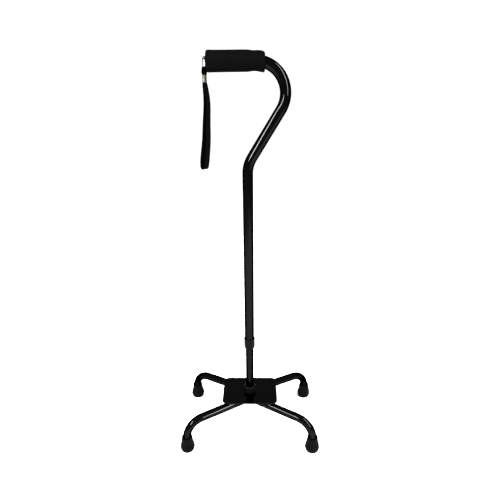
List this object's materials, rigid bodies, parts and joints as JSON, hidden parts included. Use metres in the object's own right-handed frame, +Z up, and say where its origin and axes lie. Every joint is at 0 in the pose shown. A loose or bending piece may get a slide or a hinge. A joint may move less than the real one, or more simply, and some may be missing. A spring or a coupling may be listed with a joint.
{
  "type": "quad walking cane",
  "caption": "Height-adjustable walking cane with a foam hand grip, a four-legged base with rubber tips, a snap-button height lock and a hanging wrist strap.",
  "frame": {"origin": "on the floor, under the shaft's axis, midway between the four rubber tips", "axes": "+Z up along the shaft; X along the grip, with the strap end of the grip at -X; Y across the grip, front legs at -Y"},
  "size_m": [0.3232, 0.2246, 0.8562],
  "materials": {
    "black_gloss_steel": "gloss black powder coat on steel",
    "black_tube": "gloss black anodised or painted tube",
    "black_plastic": "satin moulded black plastic",
    "foam": "matt closed-cell foam, charcoal black",
    "tip_rubber": "matt black rubber",
    "bright_steel": "plain zinc-plated steel",
    "webbing": "woven black nylon webbing"
  },
  "bodies": {
    "base": {"base_plate": "black_gloss_steel", "front_leg_tube": "black_gloss_steel", "rear_leg_tube": "black_gloss_steel", "leg_welds": "black_gloss_steel", "base_spigot": "bright_steel", "foot_weld": "black_gloss_steel", "foot_ring": "black_plastic", "lower_tube": "black_tube", "tube_glide": "black_plastic", "spring_clip": "bright_steel", "tip_front_left": "tip_rubber", "tip_front_right": "tip_rubber", "tip_rear_left": "tip_rubber", "tip_rear_right": "tip_rubber", "tip_washers": "bright_steel"},
    "button": {"snap_button": "bright_steel"},
    "handle": {"handle_tube": "black_tube", "foam_grip": "foam", "grip_plug": "black_plastic", "collet": "black_plastic"},
    "nut": {"lock_nut": "black_plastic"},
    "ring": {"split_ring": "bright_steel"},
    "strap": {"strap_tab": "webbing", "strap_crimp": "bright_steel", "wrist_strap": "webbing"}
  },
  "joints": [
    {"name": "height_slide", "type": "slide", "parent": "base", "child": "handle", "axis": [0, 0, 1], "range_m": [-0.0762, 0.1524], "deforming": ["snap_button"]},
    {"name": "button_press", "type": "slide", "parent": "base", "child": "button", "axis": [1, 0, 0], "range_m": [0, 0.004], "stiffness_N_per_m": 2500, "springref_m": -0.001, "deforming": ["spring_clip"]},
    {"name": "lock_nut_turn", "type": "hinge", "parent": "handle", "child": "nut", "pos_m": [0, 0, 0.226], "axis": [0, 0, 1], "range_deg": [0, 360]},
    {"name": "ring_swing", "type": "hinge", "parent": "handle", "child": "ring", "pos_m": [-0.0803, 0, 0.84275], "axis": [0.2079, 0.9781, 0], "range_deg": [-1, 85]},
    {"name": "strap_swing", "type": "hinge", "parent": "ring", "child": "strap", "pos_m": [-0.0803, 0, 0.82495], "axis": [0.2079, 0.9781, 0], "range_deg": [-6, 80]}
  ]
}
